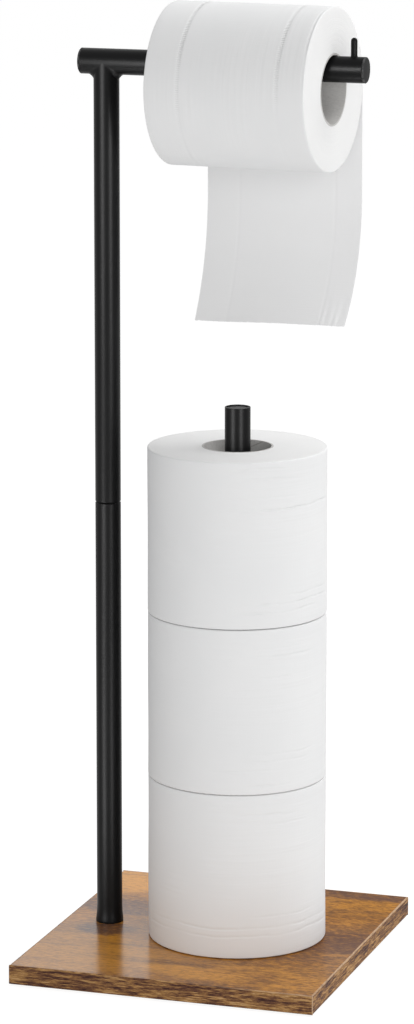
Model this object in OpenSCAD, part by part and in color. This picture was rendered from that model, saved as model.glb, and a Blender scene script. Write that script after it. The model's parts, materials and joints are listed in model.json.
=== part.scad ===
// Free-standing toilet roll holder with storage for spare rolls: a laminated base board carries
// a two-section pole with an arm for the roll in use, and a shorter post for the spare rolls.
// Sizes are in millimetres. X runs along the front edge to the right, Y runs to the back and
// Z up from the floor. The origin is on the floor under the middle of the board.

/* [Base board] */
// Width of the base board, left to right
base_w = 195; // [185:1:260]
// Depth of the base board, front to back
base_d = 215; // [160:1:300]
// Whole thickness of the base board
base_t = 12; // [10:0.5:20]
// Thickness of the laminate on the top and the bottom face
laminate_t = 0.6; // [0.3:0.1:1.2]
// Thickness of the edge bands
band_t = 1; // [0.6:0.1:2]
// Bevel along the outer top and bottom edges of the bands
band_bevel = 0.5; // [0.2:0.1:0.5]
// Diameter of the foot pads
pad_d = 14; // [8:1:20]
// Thickness of the foot pads
pad_t = 1; // [0.5:0.1:3]
// Distance from the board's edges to the middle of a foot pad
pad_inset = 14; // [12:1:25]

/* [Tubes] */
// Outer diameter of the pole, arm and post tubes
tube_d = 16; // [14:0.5:22]
// Wall of the tubes
tube_wall = 1; // [0.8:0.1:1.5]
// Distance from the board's left edge to the pole's axis
pole_inset = 28; // [22:1:40]
// Height of the arm's axis above the board
pole_h = 548; // [520:1:700]
// Height of the joint between the two pole sections above the board
pole_joint_h = 272; // [200:1:320]
// Chamfer of the two tube ends that meet at the pole joint
joint_chamfer = 0.6; // [0.2:0.1:0.8]
// Height of the flared foot of a tube
flare_h = 11; // [6:1:16]
// How far the flared foot stands out from the tube
flare_out = 0.9; // [0.4:0.1:2]
// Distance from the pole's axis to the post's axis
post_offset = 85; // [80:1:110]
// Height of the storage post above the board
post_h = 337; // [280:1:360]
// Depth of the recessed cap below the storage post's rim
post_cap_recess = 0.6; // [0.2:0.1:2]
// Thickness of the storage post's cap
post_cap_t = 5; // [3:0.5:10]

/* [Arm] */
// Length of the arm from the pole's axis to its front end
arm_reach = 166.5; // [160:0.5:200]
// Length of the arm from the pole's axis to its rear end
arm_tail = 16.5; // [13:0.5:30]
// Thickness of the arm's end caps
cap_t = 1.4; // [1:0.1:3]
// Chamfer around the arm's end caps
cap_chamfer = 0.5; // [0.2:0.1:0.8]
// Length of the end caps' spigots inside the arm
cap_spigot_l = 4; // [2:0.5:4.5]
// Leg of the weld bead between pole and arm
weld_leg = 3; // [1.5:0.5:3.5]
// Diameter of the stop pin
pin_d = 4; // [3:0.5:5]
// Height of the stop pin above the arm
pin_h = 11.5; // [8:0.5:14]
// Distance from the arm's front end to the stop pin's axis
pin_inset = 8; // [8:0.5:12]

/* [Fasteners] */
// Diameter of the base bolts
bolt_d = 6; // [5:1:8]
// Length of the base bolts under the head
bolt_l = 20; // [16:1:26]
// Diameter of the base bolts' heads
bolt_head_d = 10.5; // [9:0.5:13]
// Height of the base bolts' heads
bolt_head_h = 3.3; // [2.5:0.1:3.6]
// Width across the corners of the socket in a bolt head
bolt_socket_d = 4.6; // [3:0.2:6]
// Depth of the socket in a bolt head
bolt_socket_h = 2; // [1:0.2:2.4]
// Outer diameter of the base washers
washer_d = 16; // [14:0.5:18]
// Thickness of the base washers
washer_t = 1.2; // [1:0.1:1.5]
// Depth of the recesses for the bolt heads in the board's underside
recess_h = 5.5; // [5.2:0.1:7]
// Diameter of the recesses for the bolt heads
recess_d = 18; // [18:0.5:22]
// Length of the threaded inserts in the tubes' feet
foot_insert_l = 18; // [12:1:30]
// Length of the threaded inserts at the pole joint
joint_insert_l = 16; // [10:1:30]
// Diameter of the stud that joins the two pole sections
stud_d = 8; // [6:1:9]
// Length of the stud
stud_l = 28; // [16:1:30]

/* [Rolls] */
// Width of a roll
roll_w = 104; // [95:1:108]
// Outer diameter of a spare roll
spare_d = 112; // [90:1:120]
// Outer diameter of the roll in use
hung_d = 101; // [80:1:110]
// Bore of a roll's cardboard core
core_bore_d = 42; // [38:0.5:46]
// Wall of a cardboard core
core_wall = 1.2; // [0.8:0.1:2]
// Rounding of a roll's outer edges
roll_edge_r = 2; // [1:0.5:4]
// Gap between the roll in use and the stop pin, along the roll's axis
hung_pin_gap = 9.5; // [1:0.5:20]
// Angle by which the roll in use hangs askew on the arm, its free end to the front
hung_skew_deg = 4.5; // [0:0.5:6]

/* [Hanging sheet] */
// Thickness of the hanging sheet
sheet_t = 0.5; // [0.4:0.1:0.8]
// How much narrower the sheet is than the roll, at each side
sheet_margin = 0.5; // [0:0.1:3]
// Angle through which the sheet still follows the roll before it leaves it
sheet_wrap_deg = 25; // [10:1:60]
// Length that hangs straight down
sheet_straight = 73; // [40:1:80]
// Length of the stretch that curls forward
sheet_curl_l = 83; // [40:1:90]
// Mean angle through which the end curls forward
sheet_curl_deg = 37; // [20:1:60]
// How much more the right edge curls than the left edge
sheet_skew_deg = 13; // [0:1:15]
// Height of the soft waves across the sheet at its lower edge
sheet_wave = 0.6; // [0:0.1:2]

/* [Hidden] */
$fn = 96;

// clearances
fit_gap = 0.05;     // round pieces of one body that sit in each other
seat_gap = 0.2;     // a roll and what it stands on
hang_gap = 0.3;     // the hung core and the arm, and the sheet and the roll
bolt_hole_gap = 0.25;
cut = 1;            // how far a cutting shape runs past what it cuts

// levels above the floor
board_z = pad_t;
top_z = board_z + base_t;
joint_z = top_z + pole_joint_h;
arm_z = top_z + pole_h;
post_top_z = top_z + post_h;
bolt_seat_z = board_z + recess_h;

// places across the board
tube_r = tube_d / 2;
bore_r = tube_r - tube_wall;
pole_x = -base_w / 2 + pole_inset;
post_x = pole_x + post_offset;
arm_front_x = pole_x + arm_reach;
arm_rear_x = pole_x - arm_tail;
pin_x = arm_front_x - pin_inset;
core_w = base_w - 2 * band_t;
core_d = base_d - 2 * band_t;

// rolls
core_r = core_bore_d / 2;
// the skew takes the core's ends aside of the arm, so the roll hangs a little higher
hung_aside = roll_w / 2 * sin(hung_skew_deg);
hung_drop = sqrt(pow(core_r - tube_r - hang_gap, 2) - pow(hung_aside, 2));
hung_x = pin_x - pin_d / 2 - hung_pin_gap - roll_w / 2 * cos(hung_skew_deg);
hung_z = arm_z - hung_drop;
spare_pitch = roll_w + seat_gap;

board_color = "#8a5a2e";
chip_color = "#b08a5c";
band_color = "#6e4a30";
metal_color = "#1c1c1d";
steel_color = "#9a9da0";
pad_color = "#2b2b2b";
tissue_color = "#f4f4f2";
card_color = "#b9a58a";

// The two places where a bolt comes up through the board
module at_bolts() {
    for (x = [pole_x, post_x])
        translate([x, 0, 0])
            children();
}

// A straight tube standing on z = 0, with a chamfer at each end's outer edge
module tube(h, foot_chamfer = 0, top_chamfer = 0) {
    rotate_extrude()
        polygon([
            [bore_r, 0],
            [tube_r - foot_chamfer, 0],
            [tube_r, foot_chamfer],
            [tube_r, h - top_chamfer],
            [tube_r - top_chamfer, h],
            [bore_r, h]
        ]);
}

// The flared foot around a tube's lower end: a short rim and a long cone above it
module foot_flare() {
    rim_h = flare_h / 6;
    rotate_extrude()
        polygon([
            [bore_r, 0],
            [tube_r + flare_out, 0],
            [tube_r + flare_out, rim_h],
            [tube_r, flare_h],
            [bore_r, flare_h]
        ]);
}

// A threaded plug inside a tube, standing on z = 0
module insert(h, hole_d) {
    rotate_extrude()
        polygon([
            [hole_d / 2 + fit_gap, 0],
            [bore_r - fit_gap, 0],
            [bore_r - fit_gap, h],
            [hole_d / 2 + fit_gap, h]
        ]);
}

// Base board

module base_core() {
    color(chip_color)
        difference() {
            translate([-core_w / 2, -core_d / 2, board_z + laminate_t])
                cube([core_w, core_d, base_t - 2 * laminate_t]);
            at_bolts() {
                translate([0, 0, board_z - cut])
                    cylinder(d = recess_d, h = recess_h + cut);
                translate([0, 0, board_z])
                    cylinder(d = bolt_d + 2 * bolt_hole_gap, h = base_t + cut);
            }
        }
}

module top_laminate() {
    color(board_color)
        difference() {
            translate([-core_w / 2, -core_d / 2, top_z - laminate_t])
                cube([core_w, core_d, laminate_t]);
            at_bolts()
                translate([0, 0, top_z - laminate_t - cut])
                    cylinder(d = bolt_d + 2 * bolt_hole_gap, h = laminate_t + 2 * cut);
        }
}

module bottom_laminate() {
    color(board_color)
        difference() {
            translate([-core_w / 2, -core_d / 2, board_z])
                cube([core_w, core_d, laminate_t]);
            at_bolts()
                translate([0, 0, board_z - cut])
                    cylinder(d = recess_d, h = laminate_t + 2 * cut);
        }
}

// A band of the board's thickness, l long, along +X from the origin, with its outer face at -Y
module edge_band(l) {
    rotate([90, 0, 90])
        linear_extrude(l)
            polygon([
                [band_t, 0],
                [band_bevel, 0],
                [0, band_bevel],
                [0, base_t - band_bevel],
                [band_bevel, base_t],
                [band_t, base_t]
            ]);
}

module edge_band_front() {
    color(band_color)
        translate([-base_w / 2, -base_d / 2, board_z])
            edge_band(base_w);
}

module edge_band_back() {
    color(band_color)
        translate([base_w / 2, base_d / 2, board_z])
            rotate([0, 0, 180])
                edge_band(base_w);
}

module edge_band_left() {
    color(band_color)
        translate([-base_w / 2, core_d / 2, board_z])
            rotate([0, 0, -90])
                edge_band(core_d);
}

module edge_band_right() {
    color(band_color)
        translate([base_w / 2, -core_d / 2, board_z])
            rotate([0, 0, 90])
                edge_band(core_d);
}

// A foot pad at the corner that the two signs name
module foot_pad(side_x, side_y) {
    color(pad_color)
        translate([side_x * (base_w / 2 - pad_inset), side_y * (base_d / 2 - pad_inset), 0])
            cylinder(d = pad_d, h = pad_t);
}

module base_bolts() {
    color(steel_color)
        at_bolts()
            difference() {
                union() {
                    translate([0, 0, bolt_seat_z - washer_t - bolt_head_h])
                        cylinder(d = bolt_head_d, h = bolt_head_h);
                    translate([0, 0, bolt_seat_z - washer_t - bolt_head_h])
                        cylinder(d = bolt_d, h = bolt_head_h + bolt_l);
                }
                translate([0, 0, bolt_seat_z - washer_t - bolt_head_h - cut])
                    cylinder(d = bolt_socket_d, h = bolt_socket_h + cut, $fn = 6);
            }
}

module base_washers() {
    color(steel_color)
        at_bolts()
            translate([0, 0, bolt_seat_z - washer_t])
                difference() {
                    cylinder(d = washer_d, h = washer_t);
                    translate([0, 0, -cut])
                        cylinder(d = bolt_d + 2 * bolt_hole_gap, h = washer_t + 2 * cut);
                }
}

// Pole

module lower_pole() {
    color(metal_color)
        translate([pole_x, 0, top_z])
            union() {
                tube(pole_joint_h, top_chamfer = joint_chamfer);
                foot_flare();
            }
}

module lower_pole_foot_insert() {
    color(steel_color)
        translate([pole_x, 0, top_z])
            insert(foot_insert_l, bolt_d);
}

module lower_pole_top_insert() {
    color(steel_color)
        translate([pole_x, 0, joint_z - joint_insert_l])
            insert(joint_insert_l, stud_d);
}

module pole_stud() {
    color(steel_color)
        translate([pole_x, 0, joint_z - stud_l / 2])
            cylinder(d = stud_d, h = stud_l);
}

// The upper section, whose top end is cut to the arm's round underside
module upper_pole() {
    color(metal_color)
        difference() {
            translate([pole_x, 0, joint_z])
                tube(arm_z - joint_z, foot_chamfer = joint_chamfer);
            arm_space(fit_gap);
        }
}

module upper_pole_insert() {
    color(steel_color)
        translate([pole_x, 0, joint_z])
            insert(joint_insert_l, stud_d);
}

// Arm

// The room that the arm's tube takes, and a gap around it
module arm_space(gap) {
    translate([arm_rear_x, 0, arm_z])
        rotate([0, 90, 0])
            cylinder(r = tube_r + gap, h = arm_reach + arm_tail);
}

module arm_tube() {
    color(metal_color)
        difference() {
            translate([arm_rear_x + cap_t, 0, arm_z])
                rotate([0, 90, 0])
                    tube(arm_reach + arm_tail - 2 * cap_t);
            translate([pin_x, 0, arm_z])
                cylinder(r = pin_d / 2 + fit_gap, h = tube_r + cut);
        }
}

// The weld bead runs round the saddle where pole and arm meet. Its leg fades from the pole's
// front and rear, where the tubes meet square, to its sides, where they are tangent.
function weld_leg_at(a) = weld_leg * pow(cos(a), 2);
function arm_underside(y) = arm_z - sqrt(pow(tube_r, 2) - pow(y, 2));
// The bead's section at angle a round the pole: the two outer corners, each carried past its
// tube's wall, and a corner inside both tubes
function weld_section(a) =
    let (
        leg = weld_leg_at(a),
        out_r = tube_r + leg,
        low_z = arm_underside(tube_r * sin(a)) - leg,
        high_z = arm_underside(out_r * sin(a)),
        past = tube_wall / 2,
        run = norm([leg, high_z - low_z]),
        d = [leg, high_z - low_z] / run,
        low = [tube_r, low_z] - past * d,
        high = [out_r, high_z] + past * d,
        deep = [tube_r - past, high_z + past]
    )
    [for (p = [low, high, deep]) [pole_x + p[0] * cos(a), p[0] * sin(a), p[1]]];

weld_reach_deg = 66;
weld_step_deg = 6;

module weld_side(turn) {
    sections = [for (a = [-weld_reach_deg : weld_step_deg : weld_reach_deg]) weld_section(a)];
    n = len(sections);
    points = [for (s = sections) for (p = s) p];
    sides = [
        for (i = [0 : n - 2])
            for (j = [0 : 2])
                let (k = (j + 1) % 3)
                each [
                    [3 * i + j, 3 * i + k, 3 * i + 3 + k],
                    [3 * i + j, 3 * i + 3 + k, 3 * i + 3 + j]
                ]
    ];
    ends = [[2, 1, 0], [3 * n - 3, 3 * n - 2, 3 * n - 1]];
    translate([pole_x, 0, 0])
        rotate([0, 0, turn])
            translate([-pole_x, 0, 0])
                polyhedron(points = points, faces = concat(sides, ends), convexity = 4);
}

module arm_weld() {
    color(metal_color)
        difference() {
            union() {
                weld_side(0);
                weld_side(180);
            }
            arm_space(fit_gap);
            translate([pole_x, 0, joint_z])
                cylinder(r = tube_r + fit_gap, h = arm_z - joint_z + tube_d);
        }
}

// An end cap with its outer face at x = 0 and its spigot reaching along -X
module arm_cap() {
    rotate([0, -90, 0])
        rotate_extrude()
            polygon([
                [0, 0],
                [tube_r - cap_chamfer, 0],
                [tube_r, cap_chamfer],
                [tube_r, cap_t],
                [bore_r - fit_gap, cap_t],
                [bore_r - fit_gap, cap_t + cap_spigot_l],
                [0, cap_t + cap_spigot_l]
            ]);
}

module arm_front_cap() {
    color(metal_color)
        translate([arm_front_x, 0, arm_z])
            arm_cap();
}

module arm_rear_cap() {
    color(metal_color)
        translate([arm_rear_x, 0, arm_z])
            rotate([0, 0, 180])
                arm_cap();
}

// The stop pin stands on the inside of the arm's lower wall and ends in a dome
module stop_pin() {
    pin_r = pin_d / 2;
    foot = sqrt(pow(bore_r, 2) - pow(pin_r, 2)) - fit_gap;
    top = tube_r + pin_h;
    dome_step_deg = 15;
    color(metal_color)
        translate([pin_x, 0, arm_z])
            rotate_extrude()
                polygon(concat(
                    [[0, -foot], [pin_r, -foot]],
                    [for (a = [0 : dome_step_deg : 90]) [pin_r * cos(a), top - pin_r * (1 - sin(a))]]
                ));
}

// Storage post

module storage_post() {
    color(metal_color)
        translate([post_x, 0, top_z])
            union() {
                tube(post_h);
                foot_flare();
            }
}

module storage_post_insert() {
    color(steel_color)
        translate([post_x, 0, top_z])
            insert(foot_insert_l, bolt_d);
}

module storage_post_cap() {
    color(metal_color)
        translate([post_x, 0, post_top_z - post_cap_recess - post_cap_t])
            cylinder(r = bore_r - fit_gap, h = post_cap_t);
}

// Rolls

// The wound paper of a roll, standing on z = 0, with rounded outer edges
module roll_paper(outer_d) {
    outer_r = outer_d / 2;
    inner_r = core_r + core_wall + fit_gap;
    edge_step_deg = 15;
    color(tissue_color)
        rotate_extrude()
            polygon(concat(
                [[inner_r, 0]],
                [
                    for (a = [-90 : edge_step_deg : 0])
                        [
                            outer_r - roll_edge_r * (1 - cos(a)),
                            roll_edge_r * (1 + sin(a))
                        ]
                ],
                [
                    for (a = [0 : edge_step_deg : 90])
                        [
                            outer_r - roll_edge_r * (1 - cos(a)),
                            roll_w - roll_edge_r * (1 - sin(a))
                        ]
                ],
                [[inner_r, roll_w]]
            ));
}

// The cardboard core of a roll, standing on z = 0
module roll_core() {
    color(card_color)
        rotate_extrude()
            polygon([
                [core_r, 0],
                [core_r + core_wall, 0],
                [core_r + core_wall, roll_w],
                [core_r, roll_w]
            ]);
}

// The place of the roll in use: its middle at the origin, its axis along X
module at_hung_roll() {
    translate([hung_x, 0, hung_z])
        rotate([0, 0, -hung_skew_deg])
            children();
}

// Lays a roll that stands on z = 0 along X, with its middle at the origin
module laid() {
    translate([-roll_w / 2, 0, 0])
        rotate([0, 90, 0])
            children();
}

// The place of a spare roll, counted from 0 at the board
module at_spare(place) {
    translate([post_x, 0, top_z + seat_gap + place * spare_pitch])
        children();
}

module hung_roll_paper() {
    at_hung_roll()
        laid()
            roll_paper(hung_d);
}

module hung_roll_core() {
    at_hung_roll()
        laid()
            roll_core();
}

module spare_lower_paper() {
    at_spare(0)
        roll_paper(spare_d);
}

module spare_lower_core() {
    at_spare(0)
        roll_core();
}

module spare_middle_paper() {
    at_spare(1)
        roll_paper(spare_d);
}

module spare_middle_core() {
    at_spare(1)
        roll_core();
}

module spare_upper_paper() {
    at_spare(2)
        roll_paper(spare_d);
}

module spare_upper_core() {
    at_spare(2)
        roll_core();
}

// Hanging sheet
// The sheet leaves the roll at its back, hangs straight and then curls forward. A point of its
// middle surface is found from s, the length along the sheet, and u, the share of its width.

sheet_r = hung_d / 2 + hang_gap + sheet_t / 2;
sheet_wrap_l = sheet_r * sheet_wrap_deg * PI / 180;
sheet_l = sheet_wrap_l + sheet_straight + sheet_curl_l;
sheet_rows = 28;
sheet_columns = 14;
wave_turn_deg = 400;
wave_start_deg = 40;

function curl_deg_at(u) = sheet_curl_deg + sheet_skew_deg * (u - 0.5);
// The sheet's height and distance behind the roll's axis, and the direction away from the roll
function sheet_line(s, u) =
    let (
        below = s - sheet_wrap_l,
        curled = below - sheet_straight,
        curl_r = sheet_curl_l * 180 / (PI * curl_deg_at(u)),
        wrap_a = -below * 180 / (PI * sheet_r),
        curl_a = curled * 180 / (PI * curl_r)
    )
    below < 0 ? [sheet_r * cos(wrap_a), sheet_r * sin(wrap_a), cos(wrap_a), sin(wrap_a)] :
    curled < 0 ? [sheet_r, -below, 1, 0] :
    [
        sheet_r - curl_r * (1 - cos(curl_a)),
        -sheet_straight - curl_r * sin(curl_a),
        cos(curl_a),
        -sin(curl_a)
    ];
// The soft waves grow from nothing, where the sheet leaves the roll, to its lower edge
function wave_at(s, u) =
    let (down = max(0, s - sheet_wrap_l) / (sheet_l - sheet_wrap_l))
    sheet_wave * pow(down, 2) * sin(wave_turn_deg * u + wave_start_deg);
function sheet_point(s, u, side) =
    let (
        line = sheet_line(s, u),
        out = wave_at(s, u) + side * sheet_t / 2
    )
    [
        (u - 0.5) * (roll_w - 2 * sheet_margin),
        line[0] + out * line[2],
        line[1] + out * line[3]
    ];

module hung_sheet() {
    row = sheet_columns + 1;
    skin = row * (sheet_rows + 1);
    points = [
        for (side = [-1, 1])
            for (i = [0 : sheet_rows])
                for (j = [0 : sheet_columns])
                    sheet_point(sheet_l * i / sheet_rows, j / sheet_columns, side)
    ];
    front = [
        for (i = [0 : sheet_rows - 1])
            for (j = [0 : sheet_columns - 1])
                let (a = i * row + j)
                each [[a, a + row, a + row + 1], [a, a + row + 1, a + 1]]
    ];
    back = [for (f = front) [f[2] + skin, f[1] + skin, f[0] + skin]];
    rim = concat(
        [for (i = [0 : sheet_rows - 1]) [i * row, (i + 1) * row]],
        [for (j = [0 : sheet_columns - 1]) [sheet_rows * row + j, sheet_rows * row + j + 1]],
        [for (i = [0 : sheet_rows - 1]) [(i + 2) * row - 1, (i + 1) * row - 1]],
        [for (j = [0 : sheet_columns - 1]) [j + 1, j]]
    );
    edges = [
        for (e = rim)
            each [[e[1], e[0], e[0] + skin], [e[1], e[0] + skin, e[1] + skin]]
    ];
    color(tissue_color)
        at_hung_roll()
            polyhedron(points = points, faces = concat(front, back, edges), convexity = 6);
}

base_core();
top_laminate();
bottom_laminate();
edge_band_front();
edge_band_back();
edge_band_left();
edge_band_right();
foot_pad(-1, -1);  // foot_pad_front_left
foot_pad(1, -1);  // foot_pad_front_right
foot_pad(-1, 1);  // foot_pad_back_left
foot_pad(1, 1);  // foot_pad_back_right
base_bolts();
base_washers();
lower_pole();
lower_pole_foot_insert();
lower_pole_top_insert();
pole_stud();
upper_pole();
upper_pole_insert();
arm_tube();
arm_weld();
arm_front_cap();
arm_rear_cap();
stop_pin();
storage_post();
storage_post_insert();
storage_post_cap();
hung_roll_paper();
hung_roll_core();
hung_sheet();
spare_lower_paper();
spare_lower_core();
spare_middle_paper();
spare_middle_core();
spare_upper_paper();
spare_upper_core();
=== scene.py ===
import json
import math
from collections import namedtuple

import bmesh
import bpy
from mathutils import Matrix, Vector, noise


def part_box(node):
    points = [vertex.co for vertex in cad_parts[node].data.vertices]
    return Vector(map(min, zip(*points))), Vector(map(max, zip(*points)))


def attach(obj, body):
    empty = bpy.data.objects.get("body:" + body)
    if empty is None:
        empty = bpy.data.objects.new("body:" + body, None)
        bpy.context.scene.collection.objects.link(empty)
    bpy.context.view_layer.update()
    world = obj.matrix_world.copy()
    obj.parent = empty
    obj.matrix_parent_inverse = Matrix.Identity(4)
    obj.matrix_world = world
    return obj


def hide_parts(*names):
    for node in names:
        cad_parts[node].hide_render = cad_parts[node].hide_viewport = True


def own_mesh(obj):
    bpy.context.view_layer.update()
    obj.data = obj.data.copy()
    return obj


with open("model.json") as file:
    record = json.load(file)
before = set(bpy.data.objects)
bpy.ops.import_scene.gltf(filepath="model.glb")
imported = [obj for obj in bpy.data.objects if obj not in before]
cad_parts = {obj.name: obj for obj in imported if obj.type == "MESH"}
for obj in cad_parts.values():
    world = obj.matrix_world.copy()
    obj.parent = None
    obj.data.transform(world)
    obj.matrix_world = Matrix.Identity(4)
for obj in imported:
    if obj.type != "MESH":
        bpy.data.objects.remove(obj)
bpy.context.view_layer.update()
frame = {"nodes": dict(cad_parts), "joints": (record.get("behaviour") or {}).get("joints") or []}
nodes = frame["nodes"]

MM = 0.001


# Places, in millimetres, from the CAD


def box_mm(node):
    """A CAD node's lowest and highest corner."""
    low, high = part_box(node)
    return low / MM, high / MM


board_top = box_mm("top_laminate")[1].z
board_half_w = box_mm("edge_band_front")[1].x
board_half_d = box_mm("edge_band_back")[1].y

lower_low, lower_high = box_mm("lower_pole")
pole_x = (lower_low.x + lower_high.x) / 2
joint_z = lower_high.z
post_low, post_high = box_mm("storage_post")
post_x = (post_low.x + post_high.x) / 2
arm_low, arm_high = box_mm("arm_tube")
arm_z = (arm_low.z + arm_high.z) / 2
tube_r = (arm_high.z - arm_low.z) / 2
bore_r = tube_r - 1
front_cap_x = box_mm("arm_front_cap")[1].x
rear_cap_x = box_mm("arm_rear_cap")[0].x
pin_low, pin_high = box_mm("stop_pin")
pin_x = (pin_low.x + pin_high.x) / 2
pin_r = (pin_high.x - pin_low.x) / 2

SPARES = ("lower", "middle", "upper")
spare_low, spare_high = box_mm("spare_lower_paper")
roll_w = spare_high.z - spare_low.z
core_low, core_high = box_mm("spare_lower_core")
core_r = (core_high.x - core_low.x) / 2
core_wall = 1.2

# The roll in use turns about its own axis, which lies a little askew to the arm
hung_low, hung_high = box_mm("hung_roll_paper")
hung_r = (hung_high.z - hung_low.z) / 2
spin = next(joint for joint in frame["joints"] if joint["name"] == "hung_roll_spin")

# Where a roll is: its middle, the axis it is wound along, and how far that is turned about Z
Place = namedtuple("Place", "middle along turn")
hung_turn = math.atan2(spin["axis"][1], spin["axis"][0])
hung_place = Place([part / MM for part in spin["pos_m"]], "X", hung_turn)


def aim_camera():
    """The camera stands where the photograph was taken from."""
    turn, drop = math.radians(18.13), math.radians(9.89)
    right = Vector((math.cos(turn), math.sin(turn), 0))
    back = Vector((math.sin(turn) * math.cos(drop), -math.cos(turn) * math.cos(drop), math.sin(drop)))
    lens = bpy.data.cameras.new("camera")
    lens.sensor_width = 36
    lens.lens = 153.57
    lens.shift_y = -0.15
    lens.clip_start, lens.clip_end = 0.1, 60
    camera = bpy.data.objects.new("camera", lens)
    bpy.context.scene.collection.objects.link(camera)
    camera.location = Vector((0, 0, 0.3794)) - right * 0.0042 + back * 2.6948
    camera.rotation_mode = "QUATERNION"
    camera.rotation_quaternion = (-back).to_track_quat("-Z", "Y")
    bpy.context.scene.camera = camera


aim_camera()


# Finishes


class Value:
    """A value that a node gives. Sums written with it add Math nodes."""

    def __init__(self, finish, socket):
        self.finish = finish
        self.socket = socket

    def math(self, operation, *values):
        return self.finish.node("ShaderNodeMath", {"operation": operation}, dict(enumerate(values)))

    def __add__(self, other):
        return self.math("ADD", self, other)

    def __sub__(self, other):
        return self.math("SUBTRACT", self, other)

    def __rsub__(self, other):
        return self.math("SUBTRACT", other, self)

    def __mul__(self, other):
        return self.math("MULTIPLY", self, other)

    def __truediv__(self, other):
        return self.math("DIVIDE", self, other)

    def __rtruediv__(self, other):
        return self.math("DIVIDE", other, self)

    __radd__ = __add__
    __rmul__ = __mul__


# The Mix node's sockets for its two colours, and its output for the mixed one
MIX_FIRST = 6
MIX_SECOND = 7
MIX_COLOR = 2


class Finish:
    """The nodes of one surface finish."""

    def __init__(self, tree):
        self.tree = tree
        tree.nodes.clear()

    def node(self, kind, settings=None, sockets=None, out=0):
        """Adds a node: its settings first, then the values or links of its sockets."""
        made = self.tree.nodes.new(kind)
        for name, setting in (settings or {}).items():
            if name == "stops":
                ramp = made.color_ramp
                while len(ramp.elements) < len(setting):
                    ramp.elements.new(1)
                for element, (place, color) in zip(ramp.elements, setting):
                    element.position = place
                    element.color = (*color, 1)
            else:
                setattr(made, name, setting)
        for name, value in (sockets or {}).items():
            if isinstance(value, Value):
                self.tree.links.new(value.socket, made.inputs[name])
            else:
                made.inputs[name].default_value = value
        return Value(self, made.outputs[out] if made.outputs else None)

    def here(self, stretch=(1, 1, 1), middle=(0, 0, 0), turn=0.0):
        """The point on the piece in metres: seen from a middle in millimetres, turned and stretched."""
        sockets = {
            "Vector": self.node("ShaderNodeTexCoord", out="Object"),
            "Location": [part * MM for part in middle],
            "Rotation": (0, 0, turn),
            "Scale": [1 / share for share in stretch],
        }
        return self.node("ShaderNodeMapping", {"vector_type": "TEXTURE"}, sockets)

    def split(self, point):
        first = self.node("ShaderNodeSeparateXYZ", {}, {0: point})
        return [Value(self, socket) for socket in first.socket.node.outputs]

    def join(self, x, y, z):
        return self.node("ShaderNodeCombineXYZ", {}, {0: x, 1: y, 2: z})

    def cloud(self, point, scale, detail=2.0, rough=0.5):
        """Soft noise from 0 to 1."""
        sockets = {"Vector": point, "Scale": scale, "Detail": detail, "Roughness": rough}
        return self.node("ShaderNodeTexNoise", {}, sockets)

    def grade(self, value, low, high):
        """0 at low, 1 at high and a smooth step between them."""
        sockets = {"Value": value, "From Min": low, "From Max": high}
        return self.node("ShaderNodeMapRange", {"interpolation_type": "SMOOTHSTEP"}, sockets)

    def tint(self, share, first, second):
        """The colour that lies that share of the way from the first to the second."""
        colors = {}
        for socket, color in ((MIX_FIRST, first), (MIX_SECOND, second)):
            colors[socket] = color if isinstance(color, Value) else (*color, 1)
        return self.node("ShaderNodeMix", {"data_type": "RGBA"}, {0: share, **colors}, MIX_COLOR)

    def bump(self, height, distance):
        """A relief that is distance metres high where height is 1."""
        return self.node("ShaderNodeBump", {}, {"Height": height, "Distance": distance})


def finish(name, recipe, **plain):
    """A material: the recipe gives the sockets that vary over the surface, plain those that don't."""
    material = bpy.data.materials.new(name)
    material.use_nodes = True
    made = Finish(material.node_tree)
    sockets = {key.replace("_", " "): value for key, value in plain.items()}
    shader = made.node("ShaderNodeBsdfPrincipled", {}, {**sockets, **recipe(made)})
    made.node("ShaderNodeOutputMaterial", {}, {"Surface": shader})
    return material


def black_coat(f):
    """Satin powder coat: a fine grain over a soft orange peel."""
    point = f.here()
    grain = f.cloud(point, 1700, 3)
    peel = f.cloud(point, 380)
    haze = f.cloud(point, 24, 4)
    return {
        "Base Color": f.tint(haze, (0.003, 0.003, 0.0033), (0.006, 0.006, 0.0062)),
        "Roughness": 0.31 + 0.06 * haze + 0.05 * grain,
        "Normal": f.bump(grain * 0.45 + peel, 0.00003),
    }


def black_cap(f):
    """The arm's caps: a coat like the pole's, in a lighter black that paints in the light on their
    discs, and lighter still round the chamfer, partly rubbed wear and partly a painted rim highlight.
    """
    _, y, z = f.split(f.here(middle=(0, 0, arm_z)))
    radius = f.node("ShaderNodeVectorMath", {"operation": "LENGTH"}, {0: f.join(0, y, z)}, 1)
    point = f.here()
    grain = f.cloud(point, 1700, 3)
    # Painted highlight: lighter round the chamfer, partly rubbed wear and partly the rim's highlight
    # painted in
    rub_and_rim_highlight = f.grade(radius, 0.0071, 0.0077) * f.grade(f.cloud(point, 420, 3), 0.35, 0.65)
    return {
        # The lighter black is partly painted light on the cap's disc
        "Base Color": f.tint(rub_and_rim_highlight, (0.024, 0.024, 0.0242), (0.10, 0.10, 0.101)),
        "Roughness": 0.54 + 0.08 * grain - 0.08 * rub_and_rim_highlight,
        "Normal": f.bump(grain, 0.00002),
    }


def zinc(f):
    """Zinc plating with a faint cloud and fine drawn lines."""
    haze = f.cloud(f.here(), 160, 4)
    lines = f.cloud(f.here((900, 900, 90)), 1, 3)
    return {
        "Base Color": f.tint(haze, (0.46, 0.47, 0.49), (0.66, 0.67, 0.68)),
        "Roughness": 0.26 + 0.18 * haze + 0.06 * lines,
        "Normal": f.bump(lines, 0.00001),
    }


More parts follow.
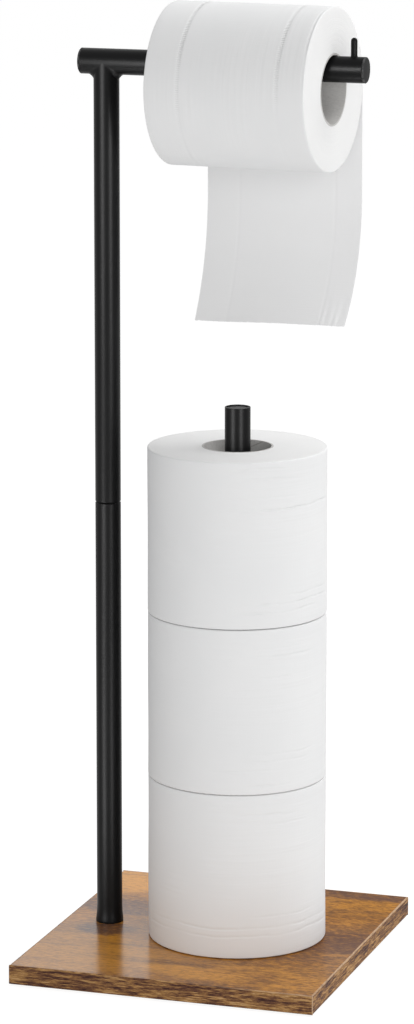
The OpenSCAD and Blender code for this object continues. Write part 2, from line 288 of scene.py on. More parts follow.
def foam(f):
    """Closed-cell foam."""
    cells = f.node("ShaderNodeTexVoronoi", {}, {"Vector": f.here(), "Scale": 1400})
    haze = f.cloud(f.here(), 300)
    return {
        "Base Color": f.tint(haze, (0.018, 0.018, 0.018), (0.036, 0.036, 0.037)),
        "Roughness": 0.82 + 0.12 * haze,
        "Normal": f.bump(cells, 0.00012),
    }


def chips(f):
    """Particle board: pressed flakes of a few millimetres."""
    flakes = f.node("ShaderNodeTexVoronoi", {}, {"Vector": f.here((260, 260, 620)), "Scale": 1}, "Color")
    flake = f.node("ShaderNodeSeparateColor", {}, {0: flakes})
    dust = f.cloud(f.here(), 900, 4)
    return {
        "Base Color": f.tint(0.6 * flake + 0.4 * dust, (0.30, 0.19, 0.095), (0.56, 0.41, 0.25)),
        "Roughness": 0.85 + 0.1 * dust,
        "Normal": f.bump(0.6 * flake + 0.4 * dust, 0.0002),
    }


HONEY = (0.72, 0.31, 0.03)
BROWN = (0.42, 0.168, 0.022)
OLIVE = (0.25, 0.096, 0.012)
DUSK = (0.12, 0.052, 0.03)
DEEP = (0.10, 0.036, 0.008)

# The laminate's patches, in millimetres: middle x and y, half width, half depth and strength
HONEY_PATCHES = [
    (-80, 88, 34, 24, 1.0),
    (-62, -66, 46, 42, 0.7),
    (20, -86, 34, 11, 1.0),
    (46, -70, 26, 7, 0.7),
    (72, 82, 34, 14, 0.55),
    (84, -86, 20, 22, 0.6),
    (-10, -60, 30, 9, 0.4),
    (62, 62, 30, 8, 0.3),
]
DUSK_AND_SHADE_PATCHES = [
    (-66, 30, 44, 15, 1.2),
    (86, -2, 34, 20, 1.4),
    (68, 104, 46, 12, 1.3),
    (66, -34, 22, 12, 0.5),
    # Painted shade: the pole's shadow and its dark reflection, painted in front of its foot
    (-64, -18, 18, 12, 1.0),
]


def patch_mask(f, patches, ragged):
    """Where a pattern's oval patches lie. Their rims are as ragged as the noise that is given."""
    x, y, _ = f.split(f.here())
    mask = 0.0
    for middle_x, middle_y, half_x, half_y, strength in patches:
        across = (x - middle_x * MM) / (half_x * MM)
        along = (y - middle_y * MM) / (half_y * MM)
        reach = across * across + along * along + ragged
        mask = strength * (1 - f.grade(reach, 0.35, 1.7)) + mask
    return mask


def rustic_top(f):
    """Wood-effect laminate: streaks, honey and dusky patches, mottled figure and fine pores.

    Its figure is finer and its lacquer duller to the right, and the lacquer thins to the back. One of
    its dusky patches, in front of the pole's foot, is painted shade: a painted shadow and a painted dark
    reflection of the pole.
    """
    streaks = f.cloud(f.here((9, 120, 120)), 1, 8, 0.62)
    figure = f.cloud(f.here((30, 70, 70)), 1, 5, 0.6)
    burl = f.cloud(f.here((75, 190, 190)), 1, 6, 0.72)
    mottle = f.cloud(f.here((190, 620, 620)), 1, 5, 0.68)
    fibres = f.cloud(f.here((90, 1000, 1000)), 1, 4, 0.6)
    ragged = (figure - 0.5) * 2.6
    x, y, _ = f.split(f.here())
    honey = patch_mask(f, HONEY_PATCHES, ragged) * f.grade(streaks, 0.2, 0.55)
    # The dusky mask also carries the painted shadow and reflection in front of the pole's foot
    dusk_and_shade = patch_mask(f, DUSK_AND_SHADE_PATCHES, ragged) * (1 - 0.45 * f.grade(streaks, 0.5, 0.75))
    right = f.grade(x, -0.03, 0.07)
    back = f.grade(y, -0.02, 0.06)
    color = f.tint(f.grade(0.6 * streaks + 0.4 * figure, 0.38, 0.62) - 0.3 * right, OLIVE, BROWN)
    color = f.tint(honey, color, HONEY)
    color = f.tint(dusk_and_shade, color, DUSK)
    color = f.tint((0.14 + 0.42 * right) * f.grade(burl, 0.5, 0.6), color, DEEP)
    color = f.tint((0.16 + 0.3 * right) * (1 - f.grade(burl, 0.4, 0.5)), color, HONEY)
    color = f.tint((0.34 + 0.25 * right) * f.grade(mottle, 0.46, 0.66), color, DEEP)
    color = f.tint(0.5 * (1 - f.grade(mottle, 0.34, 0.54)), color, HONEY)
    color = f.tint(0.35 * f.grade(fibres, 0.5, 0.72) + 0.2 * right, color, DEEP)
    color = f.tint(0.6 * dusk_and_shade * (0.5 + 0.5 * f.grade(mottle, 0.4, 0.55)), color, DUSK)
    lacquer = 1 - 0.7 * right - 0.3 * back - 0.13 * right * dusk_and_shade
    return {
        "Base Color": color,
        "Roughness": 0.36 + 0.10 * streaks + 0.10 * mottle,
        "Coat Weight": lacquer.math("MAXIMUM", lacquer, 0),
        "Normal": f.bump(fibres * 0.5 + mottle * 0.5, 0.00006),
    }


def rustic_band(f):
    """Edge band: coarse dark and tan streaks along the edge, with a pale line where its rim is cut."""
    x, y, z = f.split(f.here())
    run = x + y
    coarse = f.cloud(f.join(run * 62, 0, z * 760), 1, 6, 0.74)
    fine = f.cloud(f.join(run * 210, 3, z * 2100), 1, 4, 0.7)
    drift = f.cloud(f.join(run * 22, 7, z * 160), 1, 3)
    tone = 0.66 * coarse + 0.34 * fine + 0.25 * (drift - 0.5)
    stops = [
        (0.40, (0.040, 0.017, 0.015)),
        (0.46, (0.110, 0.050, 0.034)),
        (0.50, (0.230, 0.110, 0.046)),
        (0.55, (0.430, 0.235, 0.085)),
        (0.63, (0.600, 0.380, 0.190)),
    ]
    faded = f.grade(run, -0.12, 0.05)
    rim = f.grade(z, (board_top - 0.62) * MM, (board_top - 0.42) * MM) * faded
    front = 1 - f.grade(y, (0.98 - board_half_d) * MM, (1.02 - board_half_d) * MM)
    corner = f.grade(x, (board_half_w - 0.5) * MM, (board_half_w - 0.25) * MM) * front
    cut = rim.math("MAXIMUM", rim, corner) * (0.5 + 0.5 * f.grade(fine, 0.35, 0.6))
    streaks = f.node("ShaderNodeValToRGB", {"stops": stops}, {0: tone})
    return {
        "Base Color": f.tint(cut, streaks, (0.56, 0.38, 0.24)),
        "Roughness": 0.46 + 0.2 * fine,
        "Normal": f.bump(coarse * 0.5 + fine * 0.5, 0.00012),
    }


def roll_parts(f, place):
    """How far a point lies along a roll's axis from its middle, its two parts across and its radius."""
    x, y, z = f.split(f.here(middle=place.middle, turn=place.turn))
    run, side, front = (x, y, z) if place.along == "X" else (z, x, y)
    radius = run.math("SQRT", side * side + front * front)
    return run, side, front, radius


def stretched(f, place, lengthwise, across):
    """The point on a roll, stretched along its axis and across it."""
    stretch = (lengthwise, across, across) if place.along == "X" else (across, across, lengthwise)
    return f.here(stretch, place.middle, place.turn)


def wound_side(place, creases, bonds):
    """Paper round a roll: crepe, soft wrinkles, creases that fade out, and knurled ply-bond lines.

    A crease is its distance from the roll's middle, the angle it faces, its reach to each side
    and its depth.
    """

    def recipe(f):
        run, side, front, radius = roll_parts(f, place)
        point = f.here(middle=place.middle, turn=place.turn)
        haze = f.cloud(point, 26, 3)
        crepe = f.cloud(stretched(f, place, 60, 1300), 1, 3)
        wrinkles = f.cloud(stretched(f, place, 330, 16), 1, 4, 0.45)
        worn = f.grade(f.cloud(point, 15, 2), 0.40, 0.60)
        broken = f.grade(f.cloud(point, 60, 2), 0.36, 0.56)
        waver = (f.cloud(point, 34, 2) - 0.5) * 0.0045
        height = 0.25 * crepe + 3.0 * wrinkles * worn
        for level, facing, reach, depth in creases:
            away = (run - level * MM + waver) / 0.0007
            ridge = 1 / (1 + away * away * away * away)
            facing, reach = math.radians(facing), math.radians(reach)
            toward = (side * math.cos(facing) + front * math.sin(facing)) / radius
            seen = f.grade(toward, math.cos(reach), math.cos(reach * 0.35))
            height = height - 1.3 * depth * ridge * seen * (0.35 + 0.65 * broken)
        turn = run.math("ARCTAN2", front, side)
        for level in bonds:
            away = (run - level * MM) / 0.0011
            band = 1 / (1 + away * away * away * away)
            teeth = 0.5 + 0.5 * run.math("SINE", turn * 240)
            pressed = 0.3 + 0.7 * f.grade(front / radius, -0.3, 0.5)
            height = height - band * pressed * (2.0 + 3.2 * teeth * f.grade(haze, 0.35, 0.6))
        return {
            "Base Color": f.tint(haze, (0.835, 0.84, 0.845), (0.885, 0.885, 0.885)),
            "Roughness": 0.86 + 0.1 * haze,
            "Normal": f.bump(height, 0.0001),
        }

    return recipe


def wound_end(place):
    """The face of a roll: the edges of its layers as fine uneven rings."""

    def recipe(f):
        _, _, _, radius = roll_parts(f, place)
        point = f.here(middle=place.middle, turn=place.turn)
        haze = f.cloud(point, 60, 3)
        waver = (f.cloud(point, 70, 2) - 0.5) * 0.002
        fine = f.cloud(f.join((radius + waver) * 2400, 0, 0), 1, 2, 0.6)
        broad = f.cloud(f.join((radius + waver) * 420, 5, 0), 1, 2)
        fluff = f.cloud(point, 1500, 3)
        return {
            "Base Color": f.tint(0.6 * fine + 0.4 * haze, (0.83, 0.83, 0.83), (0.90, 0.90, 0.895)),
            "Roughness": 0.9 + 0.08 * fine,
            "Normal": f.bump(0.7 * fine + 0.8 * broad + 0.4 * fluff, 0.00016),
        }

    return recipe


def tissue_sheet(f):
    """The hanging sheet: crepe across it, faint ply-bond lines down it and a soft cloud."""
    point = f.node("ShaderNodeUVMap", {"uv_map": "sheet"})
    across, down, _ = f.split(point)
    crepe = f.cloud(f.join(across * 60, down * 1300, 0), 1, 3)
    haze = f.cloud(f.join(across * 26, down * 26, 2), 1, 3)
    height = 0.3 * crepe + 1.2 * haze
    for place in (0.0215, 0.0855):
        away = (across - place) / 0.0009
        height = height - 0.9 / (1 + away * away * away * away)
    return {
        "Base Color": f.tint(haze, (0.905, 0.905, 0.908), (0.935, 0.935, 0.935)),
        "Roughness": 0.86 + 0.1 * haze,
        "Normal": f.bump(height, 0.0001),
    }


SPIRAL_PITCH = 0.062


def core_card(place):
    """Grey cardboard: fibres, flecks and the seam of its spiral winding."""

    def recipe(f):
        run, side, front, _ = roll_parts(f, place)
        turn = run.math("ARCTAN2", front, side) / math.tau
        seam = run.math("PINGPONG", run / SPIRAL_PITCH + turn, 0.5)
        line = 1 - f.grade(seam, 0.0, 0.012)
        fibres = f.cloud(stretched(f, place, 500, 900), 1, 4, 0.6)
        flecks = f.grade(f.cloud(f.here(middle=place.middle), 700, 2), 0.62, 0.7)
        color = f.tint(fibres, (0.50, 0.49, 0.475), (0.68, 0.67, 0.655))
        color = f.tint(0.2 * flecks, color, (0.26, 0.25, 0.24))
        return {
            "Base Color": f.tint(0.5 * line, color, (0.24, 0.225, 0.21)),
            "Roughness": 0.8 + 0.15 * fibres,
            "Normal": f.bump(0.4 * fibres - line, 0.00015),
        }

    return recipe


coat = finish("black_powder_coat", black_coat, Specular_IOR_Level=0.1)
cap_coat = finish("black_cap_coat", black_cap, Specular_IOR_Level=0.04)
plating = finish("zinc_plating", zinc, Metallic=1.0)
pad_foam = finish("pad_foam", foam)
board_chips = finish("particle_board", chips)
laminate = finish(
    "rustic_laminate", rustic_top, Specular_IOR_Level=0.06, Coat_IOR=1.42, Coat_Roughness=0.19
)
band = finish("rustic_edge_band", rustic_band, Specular_IOR_Level=0.08)
sheet_tissue = finish("hanging_tissue", tissue_sheet, Specular_IOR_Level=0.05)


# Round pieces, in millimetres until they are made


def turned(profile, closed=True, steps=96):
    """A round piece on the Z axis, spun from its profile of radii and heights."""
    bm = bmesh.new()
    dots = [bm.verts.new((radius, 0, height)) for radius, height in profile]
    nexts = dots[1:] + dots[:1] if closed else dots[1:]
    lines = [bm.edges.new(pair) for pair in zip(dots, nexts)]
    bmesh.ops.spin(bm, geom=dots + lines, axis=(0, 0, 1), angle=math.tau, steps=steps, use_merge=True)
    bmesh.ops.remove_doubles(bm, verts=bm.verts, dist=0.0001)
    bmesh.ops.recalc_face_normals(bm, faces=bm.faces)
    return bm


def round_off(bm, edges, radius):
    """Rounds the edges that are given."""
    bmesh.ops.bevel(
        bm,
        geom=edges,
        offset=radius,
        offset_type="OFFSET",
        affect="EDGES",
        segments=3,
        profile=0.5,
        material=-1,
    )
    return bm


def soften(bm, radius, over_deg=25):
    """Rounds the piece's sharp edges."""
    limit = math.radians(over_deg)
    sharp = [edge for edge in bm.edges if edge.is_manifold and edge.calc_face_angle() > limit]
    return round_off(bm, sharp, radius)


def lay(bm):
    """Turns a piece from the Z axis onto the X axis."""
    bmesh.ops.rotate(bm, verts=bm.verts, matrix=Matrix.Rotation(math.pi / 2, 3, "Y"))
    return bm


def put(bm, x, y, z):
    bmesh.ops.translate(bm, verts=bm.verts, vec=(x, y, z))
    return bm


def head(bm, place):
    """Turns a piece about the origin the way that a roll is turned and takes it to its place."""
    bmesh.ops.rotate(bm, verts=bm.verts, matrix=Matrix.Rotation(place.turn, 3, "Z"))
    return put(bm, *place.middle)


def piece(name, bm, finishes, body, node, smooth_deg=30):
    """Makes the object, in metres, in place of its CAD node."""
    bmesh.ops.scale(bm, verts=bm.verts, vec=(MM, MM, MM))
    mesh = bpy.data.meshes.new(name)
    bm.to_mesh(mesh)
    bm.free()
    mesh.shade_smooth()
    mesh.set_sharp_from_angle(angle=math.radians(smooth_deg))
    for material in finishes:
        mesh.materials.append(material)
    made = bpy.data.objects.new(name, mesh)
    bpy.context.scene.collection.objects.link(made)
    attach(made, body)
    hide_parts(node)
    return made


black_pieces = []


def coated(name, bm, node, material=coat):
    """A black piece of the stand. The gloss lamps shine on these."""
    black_pieces.append(piece(name, bm, [material], "stand", node))


# The rounding of the tubes' edges, and the chamfers that meet in the groove of the pole's joint
EDGE_R = 0.12
JOINT_CUT = 0.6

# The flared foot of a tube, from its rim up to the plain tube
FLARE = [(8.7, 0), (8.7, 1.2), (8.56, 2.6), (8.34, 4.4), (8.16, 6.6), (8.05, 9), (tube_r, 12)]


def make_lower_pole():
    top = joint_z - board_top
    profile = [(bore_r, 0), *FLARE]
    profile += [(tube_r, top - JOINT_CUT), (tube_r - JOINT_CUT, top), (bore_r, top)]
    pole = soften(turned(profile), EDGE_R)
    coated("lower_pole_coated", put(pole, pole_x, 0, board_top), "lower_pole")


def arm_underside(y):
    return arm_z - math.sqrt(max(0, tube_r**2 - y**2))


def make_upper_pole():
    """The upper section's top end is cut to the arm's round underside."""
    top = arm_z - joint_z
    profile = [(bore_r, 0), (tube_r - JOINT_CUT, 0), (tube_r, JOINT_CUT)]
    profile += [(tube_r, top - 20), (tube_r, top), (bore_r, top), (bore_r, top - 20)]
    bm = put(turned(profile), pole_x, 0, joint_z)
    for vert in bm.verts:
        if vert.co.z > arm_z - 1:
            vert.co.z = arm_underside(vert.co.y)
    foot = [e for e in bm.edges if e.verts[0].co.z < joint_z + 1 and e.calc_face_angle() > 0.4]
    coated("upper_pole_coated", round_off(bm, foot, EDGE_R), "upper_pole")


# The weld bead's leg where it is full, how far it sags between its two toes, how far its hidden
# back goes into the tubes, and the steps across its face
WELD_LEG = 3
WELD_SAG = 0.3
WELD_ROOT = 0.6
WELD_STEPS = 6


def make_weld():
    """The bead round the saddle where the arm sits on the pole.

    It is full under the arm, to the left and right, and runs out in front and behind.
    """
    bm = bmesh.new()
    rings = []
    for step in range(WELD_STEPS + 2):
        ring = bmesh.ops.create_circle(bm, segments=180, radius=1)["verts"]
        for vert in ring:
            turn = math.atan2(vert.co.y, vert.co.x)
            leg = WELD_LEG * math.cos(turn) ** 2
            out = tube_r + leg
            low = Vector((tube_r, arm_underside(tube_r * math.sin(turn)) - leg))
            high = Vector((out, arm_underside(out * math.sin(turn))))
            share = step / WELD_STEPS
            spot = low.lerp(high, share)
            sag = WELD_SAG * math.sin(math.pi * share) * leg / WELD_LEG
            sag *= 1 + 0.12 * math.sin(turn * 46)
            if step <= WELD_STEPS:
                spot += Vector((-sag, sag))
            else:
                back = tube_r - WELD_ROOT
                spot = Vector((back, arm_underside(back * math.sin(turn)) + 0.5))
            vert.co = (pole_x + spot.x * math.cos(turn), spot.x * math.sin(turn), spot.y)
        rings.append({edge for vert in ring for edge in vert.link_edges})
    for ring, upper in zip(rings, rings[1:] + rings[:1]):
        bmesh.ops.bridge_loops(bm, edges=list(ring | upper))
    bmesh.ops.recalc_face_normals(bm, faces=bm.faces)
    coated("arm_weld_bead", bm, "arm_weld")


# A cap of the arm: its chamfer, how far its disc stands out of the tube, and its plug
CAP_CHAMFER = 0.5
CAP_DISC = 1.4
CAP_GROOVE = 0.3
CAP_PLUG_R = bore_r - 0.05
CAP_PLUG_END = CAP_DISC + 4


def arm_cap():
    """A cap with its face on x = 0 and its plug towards the right. A thin groove marks its seam."""
    profile = [(0, 0), (tube_r - CAP_CHAMFER, 0), (tube_r, CAP_CHAMFER)]
    profile += [(tube_r, CAP_DISC - CAP_GROOVE), (tube_r - CAP_GROOVE, CAP_DISC)]
    profile += [(CAP_PLUG_R, CAP_DISC), (CAP_PLUG_R, CAP_PLUG_END), (0, CAP_PLUG_END)]
    return lay(soften(turned(profile, closed=False), EDGE_R))


def make_arm():
    length = arm_high.x - arm_low.x
    tube = turned([(bore_r, 0), (tube_r, 0), (tube_r, length), (bore_r, length)])
    coated("arm_tube_coated", put(lay(soften(tube, 0.1)), arm_low.x, 0, arm_z), "arm_tube")
    rear = put(arm_cap(), rear_cap_x, 0, arm_z)
    coated("arm_rear_cap_coated", rear, "arm_rear_cap", cap_coat)
    front = arm_cap()
    bmesh.ops.rotate(front, verts=front.verts, matrix=Matrix.Rotation(math.pi, 3, "Z"))
    front = put(front, front_cap_x, 0, arm_z)
    coated("arm_front_cap_coated", front, "arm_front_cap", cap_coat)


def make_stop_pin():
    """The pin stands on the arm with a thin fillet of coat round its foot and ends in a dome."""
    top = pin_high.z - arm_z
    foot = pin_low.z - arm_z
    profile = [(0, foot), (pin_r, foot), (pin_r, 7.3)]
    profile += [(pin_r + 0.45, 7.5), (pin_r + 0.14, 8.15), (pin_r, 9)]
    for turn in range(0, 91, 15):
        lift = math.radians(turn)
        profile.append((pin_r * math.cos(lift), top - pin_r * (1 - math.sin(lift))))
    coated("stop_pin_coated", put(turned(profile, closed=False, steps=48), pin_x, 0, arm_z), "stop_pin")


def make_post():
    """The post, and the cap whose disc closes it."""
    top = post_high.z - board_top
    tube = soften(turned([(bore_r, 0), *FLARE, (tube_r, top), (bore_r, top)]), 0.22)
    coated("storage_post_coated", put(tube, post_x, 0, board_top), "storage_post")
    low, high = box_mm("storage_post_cap")
    radius = (high.x - low.x) / 2
    thick = high.z - low.z
    cap = soften(turned([(0, 0), (radius, 0), (radius, thick), (0, thick)], closed=False), 0.35)
    coated("storage_post_cap_coated", put(cap, post_x, 0, low.z), "storage_post_cap")


# Rolls


def wound(outer, seed, slack, tail_deg=None):
    """A roll's paper, standing on z = 0: rounded edges, a little out of round, uneven layers.

    It only ever gives way inwards, so it keeps clear of what it touches. tail_deg is where
    the outer layer ends.
    """
    steps, edge = 180, 0.9
    inner = core_r + 0.05
    quarter = [k * math.pi / 12 for k in range(7)]
    corner = [(edge * (1 - math.sin(lift)), edge * (1 - math.cos(lift))) for lift in quarter]
    radii = [inner + (outer - edge - inner) * k / 10 for k in range(10)]
    levels = [edge + (roll_w - 2 * edge) * k / 26 for k in range(1, 26)]
    profile = [(radius, 0) for radius in radii]
    profile += [(outer - back, up) for back, up in corner]
    profile += [(outer, level) for level in levels]
    profile += [(outer - back, roll_w - up) for back, up in reversed(corner)]
    profile += [(radius, roll_w) for radius in reversed(radii)]
    bm = turned(profile, steps=steps)
    for vert in bm.verts:
        x, y, z = vert.co
        radius, turn = math.hypot(x, y), math.atan2(y, x)
        depth = (radius - inner) / (outer - inner)
        sway = noise.noise(Vector((1.3 * x / outer, 1.3 * y / outer, z / 60 + seed)))
        layer = noise.noise(Vector((radius / 4, 0.8 * turn / math.pi, seed * 3 + (z > roll_w / 2))))
        shrink = slack * (1 + 1.4 * sway)
        if tail_deg is not None:
            wound_on = ((turn - math.radians(tail_deg)) / math.tau) % 1
            if 0.0001 < wound_on < 1.5 / steps:
                turn = math.radians(tail_deg + 0.15)
            shrink += 0.3 * ((wound_on - 0.0001) % 1)
        radius -= max(0, shrink) * depth**3
        near_end = max(0, 1 - min(z, roll_w - z) / (2 * edge))
        give = near_end * (0.12 + 0.16 * abs(layer)) * (1 if z < roll_w / 2 else -1)
        vert.co = (radius * math.cos(turn), radius * math.sin(turn), z + give)
    return bm


def card_tube():
    inner = core_r - core_wall
    return soften(turned([(inner, 0), (core_r, 0), (core_r, roll_w), (inner, roll_w)]), 0.15)


def make_roll(name, body, outer, place, seed, creases, slack=0.22, bonds=(), tail_deg=None):
    """The paper and the core of a roll."""
    side = finish(f"{name}_paper_side", wound_side(place, creases, bonds), Specular_IOR_Level=0.05)
    end = finish(f"{name}_paper_end", wound_end(place), Specular_IOR_Level=0.05)
    card = finish(f"{name}_card", core_card(place), Specular_IOR_Level=0.05)
    paper, core = wound(outer, seed, slack, tail_deg), card_tube()
    for face in paper.faces:
        face.material_index = int(abs(face.normal.z) > 0.8)
    for bm in (paper, core):
        put(bm, 0, 0, -roll_w / 2)
        if place.along == "X":
            lay(bm)
        head(bm, place)
    piece(f"{name}_wound_tissue", paper, [side, end], body, f"{name}_paper")
    piece(f"{name}_card_tube", core, [card], body, f"{name}_core")


# Creases of the spare rolls: millimetres above the roll's middle, the way they face, reach and depth
CREASES = {
    "lower": [
        (-38, -72, 180, 1.1),
        (-33, -60, 110, 1.2),
        (50, -60, 24, 1.2),
        (39, -50, 26, 1.4),
        (33.5, -42, 22, 1.2),
        (-26, -40, 30, 1.0),
    ],
    "middle": [
        (35, -40, 26, 1.3),
        (22, -50, 18, 1.0),
        (-27, -35, 36, 1.1),
        (-31.5, -45, 30, 1.3),
        (-37, -62, 30, 1.3),
        (-46.7, -50, 20, 1.6),
    ],
    "upper": [
        (22.5, -32, 50, 3.0),
        (41, -52, 24, 1.6),
        (30, -56, 26, 1.4),
        (47, -60, 22, 1.4),
        (-32, -20, 26, 1.6),
        (-37, -30, 42, 2.2),
        (-42.2, -45, 38, 2.2),
    ],
}


def make_rolls():
    for count, level in enumerate(SPARES):
        low, high = box_mm(f"spare_{level}_paper")
        name = f"spare_{level}"
        outer = (high.x - low.x) / 2
        place = Place((post_x, 0, (low.z + high.z) / 2), "Z", 0)
        tail_deg = 80 + 34 * count
        make_roll(name, name, outer, place, count + 1, CREASES[level], tail_deg=tail_deg)
    bonds = (22 - roll_w / 2, roll_w / 2 - 18)
    rim = [(roll_w / 2 - 1.4, 128, 62, 2.4)]
    make_roll("hung_roll", "hung_roll", hung_r, hung_place, 7, rim, slack=0.1, bonds=bonds)


# Hanging sheet: its thickness and its distance from the roll's axis, then the lengths of it that
# lie on the roll, hang straight and curl forward, and its whole flat size

SHEET_THICK = 0.42
SHEET_R = hung_r + 0.3 + SHEET_THICK / 2
SHEET_WRAP = SHEET_R * math.radians(25)
SHEET_STRAIGHT = 73
SHEET_CURL = 83
SHEET_L = SHEET_WRAP + SHEET_STRAIGHT + SHEET_CURL
SHEET_W = roll_w - 1

# The torn edge's teeth, and how far up the sheet gives way to them
TOOTH_W = 1.9
TOOTH_L = 0.4
TORN_REACH = 1.8


def sheet_spot(across, down):
    """How far behind and above the roll's axis a point lies, and which way its outer face looks.

    The sheet leaves the roll at the back, hangs straight and then curls forward, most at its
    right edge.
    """
    bend = math.radians(37 + 13 * (across / SHEET_W - 0.5))
    curl_r = SHEET_CURL / bend
    below = down - SHEET_WRAP
    curled = below - SHEET_STRAIGHT
    if below < 0:
        turn = -below / SHEET_R
        return SHEET_R * math.cos(turn), SHEET_R * math.sin(turn), (math.cos(turn), math.sin(turn))
    if curled < 0:
        return SHEET_R, -below, (1, 0)
    turn = curled / curl_r
    depth = SHEET_R - curl_r * (1 - math.cos(turn))
    return depth, -SHEET_STRAIGHT - curl_r * math.sin(turn), (math.cos(turn), -math.sin(turn))


def sheet_waves(across, down):
    """How far the sheet stands out in soft waves, and in small creases by its lower right corner."""
    share = across / SHEET_W
    fall = max(0, down - SHEET_WRAP) / (SHEET_L - SHEET_WRAP)
    waves = 0.6 * fall**2 * math.sin(math.radians(400 * share + 40))
    waves += 0.5 * fall * noise.noise(Vector((across / 26, down / 60, 4)))
    corner = max(0, 1 - math.hypot((SHEET_W - 9 - across) / 14, (SHEET_L - down) / 26))
    return waves + 0.55 * corner * noise.noise(Vector((across / 2.2, down / 30, 6)))


def torn(across, down):
    """The lower edge is torn along its perforation, so it ends in small uneven teeth."""
    near = max(0, 1 - (SHEET_L - down) / TORN_REACH)
    uneven = noise.noise(Vector((across / 2, 0, 9)))
    teeth = 0.5 + 0.5 * math.sin(across * math.tau / TOOTH_W) + 0.8 * uneven
    return down - TOOTH_L * near * teeth


def make_sheet():
    bm = bmesh.new()
    bmesh.ops.create_grid(bm, x_segments=120, y_segments=100, size=0.5)
    flat = bm.loops.layers.uv.new("sheet")
    for face in bm.faces:
        for loop in face.loops:
            x, y, _ = loop.vert.co
            loop[flat].uv = ((x + 0.5) * SHEET_W * MM, (0.5 - y) * SHEET_L * MM)
    for vert in bm.verts:
        across, down = (vert.co.x + 0.5) * SHEET_W, (0.5 - vert.co.y) * SHEET_L
        down = torn(across, down)
        depth, up, (back, rise) = sheet_spot(across, down)
        stand = sheet_waves(across, down)
        vert.co = (across - SHEET_W / 2, depth + stand * back, up + stand * rise)
    bmesh.ops.recalc_face_normals(bm, faces=bm.faces)
    bmesh.ops.solidify(bm, geom=bm.faces[:], thickness=SHEET_THICK)
    bmesh.ops.recalc_face_normals(bm, faces=bm.faces)
    head(bm, hung_place)
    made = piece(
        "hung_tissue_sheet",
        bm,
        [sheet_tissue],
        "hanging_sheet",
        "hung_sheet",
        smooth_deg=60,
    )
    SHEET_L * MM
    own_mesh(made)


def dress_board():
    """The board and the hidden hardware keep their CAD shapes and get their finishes."""
    given = {
        "top_laminate": laminate,
        "bottom_laminate": laminate,
        "base_core": board_chips,
        "base_bolts": plating,
        "base_washers": plating,
        "pole_stud": plating,
        "lower_pole_foot_insert": plating,
        "lower_pole_top_insert": plating,
        "upper_pole_insert": plating,
        "storage_post_insert": plating,
    }
    given.update({f"edge_band_{side}": band for side in ("front", "back", "left", "right")})
    for end in ("front", "back"):
        given.update({f"foot_pad_{end}_{side}": pad_foam for side in ("left", "right")})
    for node, material in given.items():
        nodes[node].material_slots[0].material = material


make_lower_pole()
make_upper_pole()
make_weld()
make_arm()
make_stop_pin()
make_post()
make_rolls()
make_sheet()
dress_board()


# Studio


def seen_white(f):
    """1 for the camera and for gloss and glass, 0 for the light on the object."""
    path = f.node("ShaderNodeLightPath").socket.node.outputs
    camera = Value(f, path["Is Camera Ray"])
    gloss = Value(f, path["Is Glossy Ray"])
    glass = Value(f, path["Is Transmission Ray"])
    return camera.math("MAXIMUM", camera, camera.math("MAXIMUM", gloss, glass))


def make_room():
    """A white room that lights the object at a little under half its strength."""
    world = bpy.data.worlds.new("room")
    bpy.context.scene.world = world
    world.use_nodes = True
    room = Finish(world.node_tree)
    strength = 0.46 + 0.54 * seen_white(room)
    light = room.node("ShaderNodeBackground", {}, {"Color": (1, 1, 1, 1), "Strength": strength})
    room.node("ShaderNodeOutputWorld", {}, {"Surface": light})


def make_floor():
    """A plain pale floor that keeps the object's shadow and is white to the camera."""
    bm = bmesh.new()
    bmesh.ops.create_grid(bm, x_segments=1, y_segments=1, size=30)
    mesh = bpy.data.meshes.new("floor")
    bm.to_mesh(mesh)
    bm.free()
    floor = bpy.data.objects.new("floor", mesh)
    bpy.context.scene.collection.objects.link(floor)
    material = bpy.data.materials.new("pale_floor")
    material.use_nodes = True
    pale = Finish(material.node_tree)
    matt = pale.node("ShaderNodeBsdfDiffuse", {}, {"Color": (0.86, 0.86, 0.86, 1)})
    white = pale.node("ShaderNodeEmission", {}, {"Color": (1, 1, 1, 1), "Strength": 1.2})
    sockets = {0: 0.75 * seen_white(pale), 1: matt, 2: white}
    mixed = pale.node("ShaderNodeMixShader", {}, sockets)
    pale.node("ShaderNodeOutputMaterial", {}, {"Surface": mixed})
    mesh.materials.append(material)


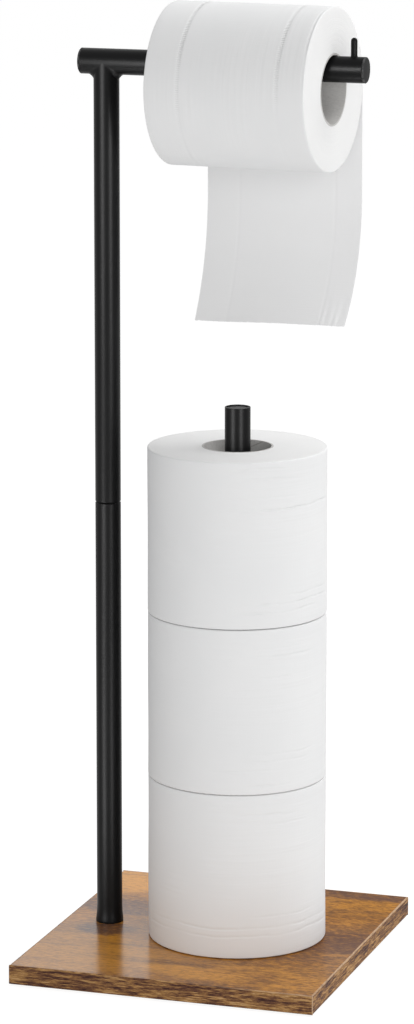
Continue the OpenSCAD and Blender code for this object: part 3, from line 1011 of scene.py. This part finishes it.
def make_lamps():
    """Soft lamps from the right, from above and behind and from the front, and five for the gloss."""
    add_lamp("key_lamp", (120, 1.53, 1.6), 0.3, (1.5, 1.5), 12)
    add_lamp("top_lamp", (150, 0.9, 1.85), 0.3, (1.2, 1.2), 12.5)
    add_lamp("front_lamp", (28, 1.8, 0.62), 0.4, (1.6, 1.18), 11)
    arm = [made for made in black_pieces if made.name == "arm_tube_coated"]
    add_lamp("left_gloss_lamp", (-24, 1.0, 0.44), 0.44, (0.36, 0.6), 12, black_pieces)
    add_lamp("right_gloss_lamp", (49, 0.95, 0.38), 0.38, (0.26, 0.5), 8, black_pieces)
    add_lamp("left_low_lamp", (-37, 0.36, 0.07), 0.82, (0.1, 0.28), 1.25, black_pieces)
    add_lamp("right_low_lamp", (34, 0.27, 0.07), 0.82, (0.09, 0.26), 0.82, black_pieces)
    add_lamp("arm_gloss_lamp", (6, 0.6, 0.67), 0.57, (0.1, 0.25), 3.4, arm)


def add_lamp(name, place, aim_height, size, power, shine_on=None):
    """A soft lamp. Its place is a direction from the stand in degrees, a distance and a height.

    A lamp with pieces to shine on gives only the gloss on those, as a studio's flagged strip does.
    """
    azimuth, distance, height = place
    turn = math.radians(azimuth)
    data = bpy.data.lights.new(name, "AREA")
    data.shape = "RECTANGLE"
    data.size, data.size_y = size
    data.energy = power
    lamp = bpy.data.objects.new(name, data)
    bpy.context.scene.collection.objects.link(lamp)
    lamp.location = (math.sin(turn) * distance, -math.cos(turn) * distance, height)
    aim = Vector((0, 0, aim_height)) - lamp.location
    lamp.rotation_mode = "QUATERNION"
    lamp.rotation_quaternion = aim.to_track_quat("-Z", "Y")
    lamp.visible_camera = False
    lamp.visible_diffuse = shine_on is None
    lamp.visible_glossy = shine_on is not None
    if shine_on is not None:
        lit = bpy.data.collections.new(f"{name}_pieces")
        for made in shine_on:
            lit.objects.link(made)
        lamp.light_linking.receiver_collection = lit


make_room()
make_floor()
make_lamps()

bpy.context.scene.view_settings.view_transform = "Standard"
